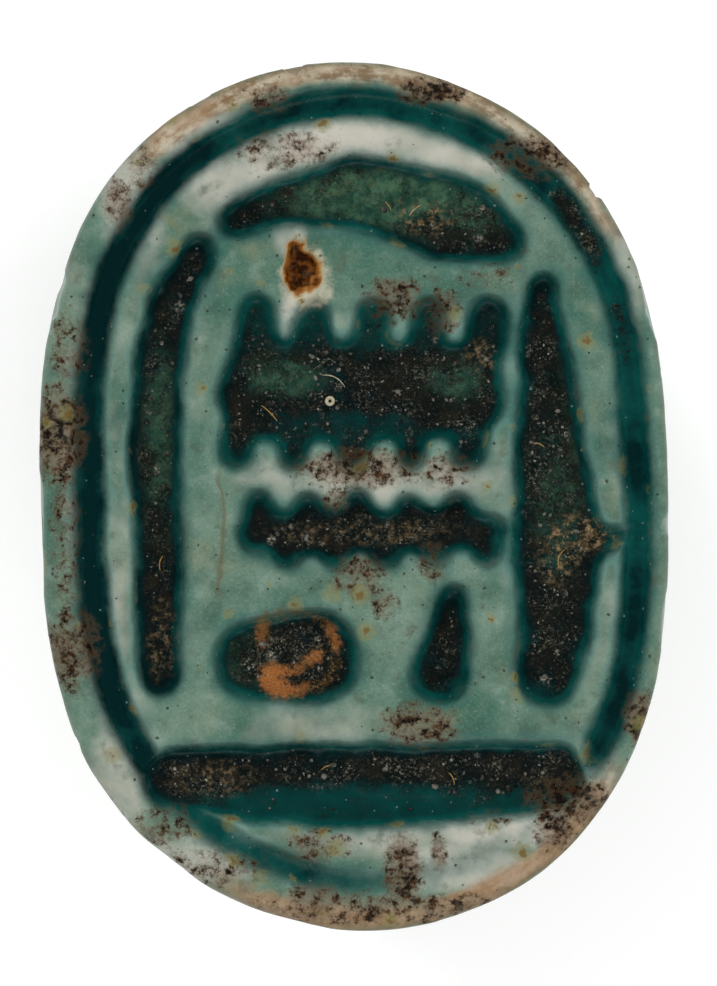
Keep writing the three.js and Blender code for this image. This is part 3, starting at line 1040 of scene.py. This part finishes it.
def make_glazed_steatite(specks, soil):
    """Pale green glaze on soft tan stone: milky where thin, deep teal in the cuts, soiled on their floors."""
    material, bench, shader = new_material("glazed_steatite")
    place = bench.millimetres()
    coarse = bench.noise(place, 0.5)
    fine = bench.noise(place, 0.1, 3.0, 0.6)
    broad = bench.noise(place, 1.4)
    streaks = bench.noise(place, 0.3, 5.0, 0.7)
    wobble = (coarse - 0.5) * 0.3 + (fine - 0.5) * 0.12 + (broad - 0.5) * 0.3
    stroke = bench.mark("stroke") + wobble
    cut = bench.higher(stroke, bench.mark("line") + wobble)
    ridge = bench.mark("crowding").rise(0.32, 0.6)
    cut = cut - ridge * 0.24 * (1.0 - cut)
    stained = bench.mark("stained")
    open_ground = cut.rise(0.7, 0.35)

    # The ground between the cuts.
    olive = bench.noise(bench.shift(place, 9, 4, 2), 1.2).rise(0.5, 0.75)
    mottle = bench.noise(bench.shift(place, 3, 7, 1), 0.7, 5.0, 0.65)
    speckle = bench.noise(place, 0.05, 3.0, 0.7)
    uneven = (bench.noise(place, 0.8, 4.0, 0.6) - 0.5) * 0.9
    thin = bench.mark("milky") + bench.mark("crowding").rise(0.15, 0.5) * 0.28
    milk = (thin + uneven).rise(0.1, 1.15)
    ground = bench.paint(
        (60, 98, 84),
        ((98, 122, 106), bench.noise(place, 2.2).rise(0.36, 0.62)),
        ((118, 124, 98), olive * 0.6),
        ((52, 78, 68), mottle.rise(0.48, 0.7) * 0.6),
        ((132, 150, 138), mottle.rise(0.5, 0.25) * 0.55),
        ((60, 78, 64), speckle.rise(0.52, 0.75) * 0.4),
        ((140, 154, 144), speckle.rise(0.48, 0.25) * 0.35),
        ((186, 181, 170), milk * 0.9),
        ((104, 142, 134), ridge * cut.rise(0.0, 0.2) * 0.45),
    )

    # Off the face, the glaze is thin on the edges that stand out, and worn right off on the sharpest.
    uneven_edge = bench.mark("sharp") + (streaks - 0.5) * 0.5
    ground = bench.paint(
        ground,
        ((150, 160, 148), uneven_edge.rise(0.25, 0.7) * 0.6),
        ((160, 144, 120), uneven_edge.rise(0.55, 0.95) * 0.8),
    )

    # The rim: streaked tan stone where the glaze is worn off, dull green right at the edge.
    rim = bench.mark("rim") + (coarse - 0.5) * 0.3
    along = bench.make("ShaderNodeCombineXYZ", {"X": bench.mark("round"), "Y": bench.mark("rim") * 6.0})
    lines = (bench.noise(along, 1.1, 4.0, 0.62) + streaks) * 0.5
    strip = rim.rise(-0.1, 0.1) * rim.rise(0.7, 0.28)
    worn = (strip * bench.mark("worn") + (lines - 0.5)).rise(0.15, 0.95)
    low = bench.axis(place, "Y").rise(-4.0, -7.0)
    browner = bench.higher(bench.noise(place, 1.1).rise(0.4, 0.65), low)
    stone = bench.paint(
        (180, 168, 146),
        ((122, 96, 70), lines.rise(0.42, 0.6)),
        ((142, 112, 82), browner * 0.7),
        ((96, 84, 58), rim.rise(0.22, 0.02) * 0.7),
    )
    ground = bench.paint(
        ground,
        (stone, worn * 0.92),
        ((90, 98, 78), rim.rise(0.14, -0.04) * 0.6),
    )

    # Glaze pools dark in every cut and hollow, with a soft margin. The teal is also darkened towards the
    # floors of the strokes as painted shade.
    hollow = (bench.mark("hollow") + wobble).rise(0.3, 0.75)
    margin = bench.higher(cut.rise(0.0, 0.3), hollow)
    ground = bench.paint(ground, ((56, 100, 92), margin * 0.45))
    depth = bench.higher(cut.rise(0.08, 0.6), hollow.rise(0.3, 1.0))
    patches = bench.noise(place, 0.45, 4.0, 0.6) - 0.5
    sifted = (bench.noise(place, 0.06, 4.0, 0.7) - 0.5) * 1.6
    cover = (patches * 1.9 + bench.mark("soiled") * 0.95 + sifted).rise(0.1, 0.85)
    covered = 0.42 + bench.mark("soiled") * 0.58
    deepest = broad.rise(0.35, 0.7) * 0.6 + streaks.rise(0.45, 0.65) * 0.25 + cut.rise(0.6, 0.86) * 0.55
    deepest = deepest * covered + bench.axis(place, "X").rise(-2.0, -5.0) * 0.6
    # Painted shade: the teal darkens towards the floors of the strokes, most where soil lies.
    painted_shade = stroke.rise(0.55, 0.95) * coarse.rise(0.2, 0.55)
    floor = stroke.rise(0.72, 0.96)
    crumbs = bench.noise(bench.shift(place, 2.2, 6.1, 0.4), 0.14, 5.0, 0.7)
    green_floor = bench.paint(
        (24, 54, 44),
        ((60, 92, 70), streaks.rise(0.35, 0.65)),
        ((78, 80, 50), crumbs.rise(0.52, 0.7) * 0.6),
    )
    moved = bench.shift(bench.ragged(place, 0.05, 0.05), 4.1, 0.6, 2.2)
    dust = bench.use(specks, {"Place": moved, "Spacing": 0.17, "Radius": 0.022, "Share": 0.42})
    teal = bench.paint(
        (5, 70, 65),
        ((0, 32, 33), bench.lower(deepest, 1.0)),
        ((2, 19, 20), painted_shade * covered * 0.9),
        (green_floor, bench.mark("green") * floor),
        ((120, 132, 122), dust["Mask"] * 0.65),
    )
    colour = bench.paint(ground, (teal, depth))

    # Soil lies on the floors of the cuts and in the deepest hollows.
    deep = bench.mark("stroke") + patches * 0.5
    in_stroke = (deep + sifted * 0.15).rise(0.76, 1.0) * cover
    patchy_line = (fine - 0.5) * 1.2 + bench.mark("soiled_line")
    in_line = cut.rise(0.4, 0.8) * patchy_line.rise(0.45, 0.9)
    in_hollow = (hollow + (fine - 0.5) * 0.8).rise(0.9, 1.15)
    soiled = bench.higher(bench.higher(in_stroke, in_line), in_hollow * 0.8)
    earth = bench.use(soil, {"Place": place})
    tan = crumbs.rise(0.46, 0.62) * (bench.mark("crumbly") * depth)
    crumb = bench.paint((70, 56, 34), ((140, 118, 84), fine.rise(0.4, 0.62)))
    colour = bench.paint(
        colour,
        (earth["Colour"], soiled * 0.94),
        (crumb, tan),
    )

    # The orange crust, and the chip where rust shows.
    crust_edge = bench.mark("crust_edge") + (fine - 0.5) * 0.4
    bright = bench.mark("crust_bright")
    crumbly = bench.noise(place, 0.045, 4.0, 0.75)
    broken = (streaks + crumbly + bright * 0.3).rise(0.84, 1.12)
    crust = crust_edge.rise(0.1, -0.06) * broken
    rusty = bench.paint(
        (84, 60, 26),
        ((150, 92, 46), bright),
        ((70, 48, 24), crumbly.rise(0.5, 0.3) * 0.7),
        ((168, 148, 110), crumbly.rise(0.54, 0.72) * 0.7),
    )
    rough_edge = (streaks - 0.5) * bench.mark("pit").rise(0.0, 0.3)
    pit = bench.mark("pit") + rough_edge * 1.5
    mixed = bench.noise(place, 0.2, 3.0, 0.6).rise(0.45, 0.68)
    rust = bench.paint((42, 19, 5), ((116, 66, 20), mixed))
    bare = bench.paint(
        (176, 152, 112),
        ((144, 92, 38), pit.rise(0.12, 0.5)),
        (rust, pit.rise(0.42, 0.9)),
    )
    rough_edge = (streaks - 0.5) * bench.mark("chip").rise(0.0, 0.3)
    halo = (bench.mark("chip") + rough_edge * 2.0).rise(0.25, 1.0)
    colour = bench.paint(
        colour,
        (rusty, crust * 0.92),
        ((178, 172, 150), halo * open_ground * 0.8),
        (bare, pit.rise(0.0, 0.3) * bench.mark("flat_face")),
    )

    # Brown stains: a pinkish wash, clusters of specks in it, and dark cakes where they are thickest.
    wash = (stained + uneven).rise(0.25, 1.1) * open_ground
    grainy = stained * 0.13 + bench.noise(bench.ragged(place, 0.09, 0.05), 0.2, 5.0, 0.72)
    faint = grainy.rise(0.46, 0.66) * stained.rise(0.04, 0.4)
    spots = grainy.rise(0.58, 0.71) * stained.rise(0.04, 0.3)
    brown = bench.paint((16, 11, 8), ((66, 42, 22), bench.noise(place, 0.12).rise(0.42, 0.66)))
    caked = (stained + (streaks - 0.5) * 1.9).rise(0.98, 1.25)
    colour = bench.paint(
        colour,
        ((112, 94, 78), wash * 0.7),
        ((84, 68, 48), faint * 0.6),
        (brown, spots),
        ((22, 18, 14), caked),
    )

    # A thin brown scratch down the left of the face.
    bent = bench.axis(bench.ragged(place, 0.8, 0.5), "X")
    off = bench.math("ABSOLUTE", bent - SCRATCH_X)
    length = bench.math("ABSOLUTE", bench.axis(place, "Y") + 0.75)
    scratch = off.rise(0.08, 0.0) * length.rise(1.5, 0.9) * bench.mark("flat_face") * open_ground
    colour = bench.paint(colour, ((92, 82, 54), scratch * 0.6))

    # Ochre specks with yellowish haloes, and pinholes.
    ragged = bench.ragged(place, 0.12, 0.24)
    halo = bench.use(specks, {"Place": ragged, "Spacing": 0.62, "Radius": 0.2, "Share": 0.42})
    ochre = bench.use(specks, {"Place": ragged, "Spacing": 0.62, "Radius": 0.09, "Share": 0.42})
    moved = bench.shift(bench.ragged(place, 0.05, 0.06), 1.7, 8.1, 0.3)
    pinholes = bench.use(specks, {"Place": moved, "Spacing": 0.2, "Radius": 0.03, "Share": 0.4})
    smudge = bench.noise(bench.shift(place, 7.3, 1.9, 4.4), 0.45, 4.0, 0.6).rise(0.56, 0.74)
    colour = bench.paint(
        colour,
        ((118, 116, 74), halo["Mask"] * open_ground * 0.5),
        ((100, 74, 32), ochre["Mask"] * open_ground * 0.8),
        ((40, 40, 30), pinholes["Mask"] * open_ground * 0.8),
        ((70, 78, 66), smudge * open_ground * 0.55),
    )

    # Finish and fine relief.
    dull = bench.higher(bench.higher(soiled, crust), bench.higher(worn * 0.7, spots * 0.6))
    roughness = 0.24 + bench.noise(place, 0.6) * 0.14 + depth * -0.04 + dull * 0.4
    skin = bench.noise(place, 0.3, 4.0, 0.6) * 0.3 + pinholes["Mask"] * -0.5 + worn * fine * 0.6
    skin = skin + depth * bench.noise(place, 0.07, 3.0, 0.6) * 0.5 + soiled * earth["Height"] * 1.0
    bench.dress(shader, colour, roughness, skin, 0.03, 0.8)
    shader.inputs["Specular IOR Level"].default_value = 0.12
    return material


def make_grain_material(soil):
    """Loose grains of the same soil."""
    material, bench, shader = new_material("soil_grain")
    place = bench.millimetres()
    earth = bench.use(soil, {"Place": place})
    pale = bench.paint((34, 32, 27), ((128, 124, 114), bench.noise(place, 0.2, 1.0).rise(0.42, 0.72)))
    colour = bench.paint(pale, (earth["Colour"], 0.35))
    bench.dress(shader, colour, 0.6 + bench.noise(place, 0.1) * 0.3, earth["Height"], 0.02, 0.6)
    return material


specks_group = make_specks_group()
soil_group = make_soil_group(specks_group)
amulet.data.materials.append(make_glazed_steatite(specks_group, soil_group))
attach(amulet, "root")
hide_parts("scarab")


# ---------------------------------------------------------------------------------------------
# Grains of sand and grit on the soil
# ---------------------------------------------------------------------------------------------
# Thickness is the number of grains to a square metre where the soil is deepest.
GRAINS = {"Thickness": 30 / MM**2, "Smallest": 0.012 * MM, "Largest": 0.07 * MM, "Seed": 5}
FULL_TURN = (6.28, 6.28, 6.28)


def scatter_tree(finish):
    """Scatters faceted grains over the piece that is handed in, as thickly as its soil allows."""
    tree = bpy.data.node_groups.new("scattered_grains", "GeometryNodeTree")
    tree.interface.new_socket("Grains", in_out="OUTPUT", socket_type="NodeSocketGeometry")
    sockets = {"Ground": "Object", "Thickness": "Float", "Smallest": "Float", "Largest": "Float"}
    for name, kind in {**sockets, "Seed": "Int"}.items():
        tree.interface.new_socket(name, in_out="INPUT", socket_type="NodeSocket" + kind)
    bench = Bench(tree)
    given = bench.outputs(tree.nodes.new("NodeGroupInput"))
    ground = bench.make("GeometryNodeObjectInfo", {"Object": given["Ground"]}, "Geometry")
    bed = bench.make("GeometryNodeInputNamedAttribute", {"Name": "soil_bed"}, "Attribute")
    thickness = bed * given["Thickness"]
    inputs = {"Mesh": ground, "Density": thickness, "Seed": given["Seed"]}
    points = bench.make("GeometryNodeDistributePointsOnFaces", inputs, "Points")
    grain = bench.make("GeometryNodeMeshIcoSphere", {"Radius": 1.0, "Subdivisions": 1}, "Mesh")
    pick = bench.make("FunctionNodeRandomValue", {"Seed": given["Seed"]}, 1)
    share = bench.math("POWER", pick, 7.0)
    span = given["Largest"] - given["Smallest"]
    size = given["Smallest"] + span * share
    uneven = {0: (0.6, 0.6, 0.6), 1: (1.3, 1.3, 1.3), "Seed": 7}
    stretch = bench.make("FunctionNodeRandomValue", uneven, 0, data_type="FLOAT_VECTOR")
    scale = bench.make("ShaderNodeVectorMath", {0: stretch, "Scale": size}, operation="SCALE")
    turns = {0: (0, 0, 0), 1: FULL_TURN, "Seed": 8}
    turn = bench.make("FunctionNodeRandomValue", turns, 0, data_type="FLOAT_VECTOR")
    inputs = {"Points": points, "Instance": grain, "Rotation": turn, "Scale": scale}
    grains = bench.make("GeometryNodeInstanceOnPoints", inputs, "Instances")
    real = bench.make("GeometryNodeRealizeInstances", {0: grains})
    finished = bench.make("GeometryNodeSetMaterial", {0: real, "Material": finish})
    bench.send(tree.nodes.new("NodeGroupOutput"), {"Grains": finished})
    return tree


def scatter_grains(ground, finish):
    piece = mesh_object("soil_grains", np.zeros((0, 3)), [])
    scatter = piece.modifiers.new("grains", "NODES")
    scatter.node_group = scatter_tree(finish)
    values = {"Ground": ground, **GRAINS}
    for item in scatter.node_group.interface.items_tree:
        if item.in_out == "INPUT":
            scatter[item.identifier] = values[item.name]
    plain_mesh(piece)
    return piece


grains = scatter_grains(amulet, make_grain_material(soil_group))
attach(grains, "root")


# ---------------------------------------------------------------------------------------------
# Fibres and a seed husk, caught in the soil
# ---------------------------------------------------------------------------------------------
# Each fibre has its middle, its turn in degrees, its length and how far it bows.
FIBRES = (
    ((-1.65, 1.62), -45, 0.44, 0.02),
    ((-0.4, 2.25), -28, 0.5, 0.08),
    ((1.2, 5.58), 42, 0.32, 0.03),
    ((0.66, 5.66), -55, 0.2, 0.02),
    ((-0.5, -5.3), 15, 0.3, 0.05),
    ((1.9, -5.5), -65, 0.26, 0.03),
    ((4.05, -1.2), 70, 0.36, 0.06),
    ((3.6, 1.0), -20, 0.24, 0.03),
    ((-3.75, -1.3), 80, 0.3, 0.04),
)
FIBRE_RADIUS = 0.012
FIBRE_RINGS = 9
FIBRE_SIDES = 6
HUSK_PLACE = (-0.47, 1.86)
HUSK_RADIUS = 0.065
HUSK_THICKNESS = 0.035
HUSK_RINGS = 20
HUSK_SIDES = 8


def fibre_rings(middle, turn, length, bow):
    """Rings round a fibre that lies on the floor of its cut, from one end to the other."""
    along = np.array([math.cos(math.radians(turn)), math.sin(math.radians(turn))])
    across = np.array([-along[1], along[0]])
    places = np.linspace(-1, 1, FIBRE_RINGS)
    path = np.array(middle) + np.outer(places * length / 2, along) + np.outer(bow * (1 - places**2), across)
    heading = np.gradient(path, axis=0)
    side = np.stack([heading[:, 1], -heading[:, 0]], axis=1) / np.linalg.norm(heading, axis=1)[:, None]
    level = HEIGHT - face_depth(*path.T) + 0.5 * FIBRE_RADIUS
    radius = FIBRE_RADIUS * (1 - 0.5 * places**2)
    turns = full_turn(FIBRE_SIDES)
    rings = []
    for centre, aside, up, reach in zip(path, side, level, radius):
        ring = centre + np.outer(reach * np.cos(turns), aside)
        rings.append(np.column_stack([ring, up + reach * np.sin(turns)]))
    return rings


def husk_rings():
    """Rings round a seed husk: a small flat hoop."""
    level = HEIGHT - face_depth(*np.array([HUSK_PLACE]).T)[0] + HUSK_THICKNESS / 2
    turns = full_turn(HUSK_SIDES)
    rings = []
    for turn in full_turn(HUSK_RINGS):
        reach = HUSK_RADIUS + HUSK_THICKNESS * np.cos(turns)
        x = HUSK_PLACE[0] + reach * math.cos(turn)
        y = HUSK_PLACE[1] + reach * math.sin(turn)
        rings.append(np.stack([x, y, level + HUSK_THICKNESS * np.sin(turns)], axis=1))
    return rings


def make_soil_litter():
    shell = Shell()
    for fibre in FIBRES:
        rows = [shell.add(ring) for ring in fibre_rings(*fibre)]
        for a, b in zip(rows, rows[1:]):
            shell.join(band(a, b))
        shell.faces += [rows[0].tolist(), rows[-1][::-1].tolist()]
    rows = [shell.add(ring) for ring in husk_rings()]
    for a, b in zip(rows, rows[1:] + rows[:1]):
        shell.join(band(a, b))
    return mesh_object("soil_litter", np.concatenate(shell.points), shell.faces)


def make_straw_material():
    """Dry plant matter: pale straw to grey."""
    material, bench, shader = new_material("dry_straw")
    place = bench.millimetres()
    straw = bench.paint((166, 158, 134), ((150, 118, 62), bench.noise(place, 0.9).rise(0.36, 0.5)))
    soiled = bench.noise(place, 0.04, 3.0, 0.7).rise(0.5, 0.7)
    colour = bench.paint(straw, ((60, 52, 38), soiled * 0.7))
    roughness = 0.55 + bench.noise(place, 0.1) * 0.3
    bench.dress(shader, colour, roughness, bench.noise(place, 0.03), 0.005, 0.6)
    return material


litter = make_soil_litter()
litter.data.materials.append(make_straw_material())
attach(litter, "root")


# ---------------------------------------------------------------------------------------------
# Table, light and camera
# ---------------------------------------------------------------------------------------------
TABLE_SIDE = 2.4
# The table glows faintly, as a light table does, so that it is evenly pale.
TABLE_FINISH = {
    "Base Color": (0.95, 0.95, 0.95, 1),
    "Roughness": 0.9,
    "Emission Color": (1, 1, 1, 1),
    "Emission Strength": 0.16,
}
bpy.ops.mesh.primitive_plane_add(size=TABLE_SIDE)
table = bpy.context.object
table.name = "table"
pale, bench, shader = new_material("table_pale")
bench.send(shader, TABLE_FINISH)
table.data.materials.append(pale)


def light_room(seen, shed, mirrored):
    """A pale room: as bright as it is seen, as much light as it sheds, and as bright as it is mirrored.
    It is dim in reflections, so that the glaze stays deep."""
    world = bpy.data.worlds.new("studio")
    bpy.context.scene.world = world
    world.use_nodes = True
    bench = Bench(world.node_tree)
    direct = bench.make("ShaderNodeLightPath", {}, "Is Camera Ray")
    glossy = bench.make("ShaderNodeLightPath", {}, "Is Glossy Ray")
    strength = shed + direct * (seen - shed) + glossy * (mirrored - shed)
    background = world.node_tree.nodes["Background"]
    bench.send(background, {"Color": (1, 1, 1, 1), "Strength": strength})


def hang_lamp(name, place, side, power, glares):
    """A square lamp that faces the seal face. One that doesn't glare is left out of reflections."""
    light = bpy.data.lights.new(name, "AREA")
    light.shape = "RECTANGLE"
    light.size = side
    light.size_y = side
    light.energy = power
    lamp = bpy.data.objects.new(name, light)
    lamp.location = place
    lamp.visible_glossy = glares
    lamp.rotation_euler = (Vector((0, 0, HEIGHT * MM)) - Vector(place)).to_track_quat("-Z", "Y").to_euler()
    bpy.context.scene.collection.objects.link(lamp)


# Two large screened lamps, one that may show in the glaze, and three small bare ones, which only
# show as glints on the walls of the cuts.
LAMPS = (
    ("key", (-0.28, 0.3, 0.3), 0.3, 1.5, False),
    ("fill", (0.38, 0.06, 0.3), 0.34, 1.15, False),
    ("front", (0.0, -0.4, 0.3), 0.34, 0.85, True),
    ("spark_0", (-0.3, 0.2, 0.28), 0.012, 0.04, True),
    ("spark_1", (0.25, 0.3, 0.3), 0.012, 0.04, True),
    ("spark_2", (0.2, -0.32, 0.3), 0.012, 0.04, True),
)
light_room(seen=0.98, shed=0.48, mirrored=0.1)
for lamp in LAMPS:
    hang_lamp(*lamp)

bpy.context.scene.view_settings.view_transform = "Standard"

# The camera looks straight down on the seal face from 0.2 m. FRAME_HEIGHT is what it takes in there.
CAMERA_AWAY = 0.2
FRAME_MIDDLE = (0.0875, 0.068)
FRAME_HEIGHT = 19.18
FILM_SIDE = 36
camera_data = bpy.data.cameras.new("camera")
camera_data.sensor_width = FILM_SIDE
camera_data.lens = FILM_SIDE * CAMERA_AWAY / (FRAME_HEIGHT * MM)
camera_data.clip_start = 0.01
camera_data.clip_end = 10
camera = bpy.data.objects.new("camera", camera_data)
camera.location = (FRAME_MIDDLE[0] * MM, FRAME_MIDDLE[1] * MM, HEIGHT * MM + CAMERA_AWAY)
bpy.context.scene.collection.objects.link(camera)
bpy.context.scene.camera = camera
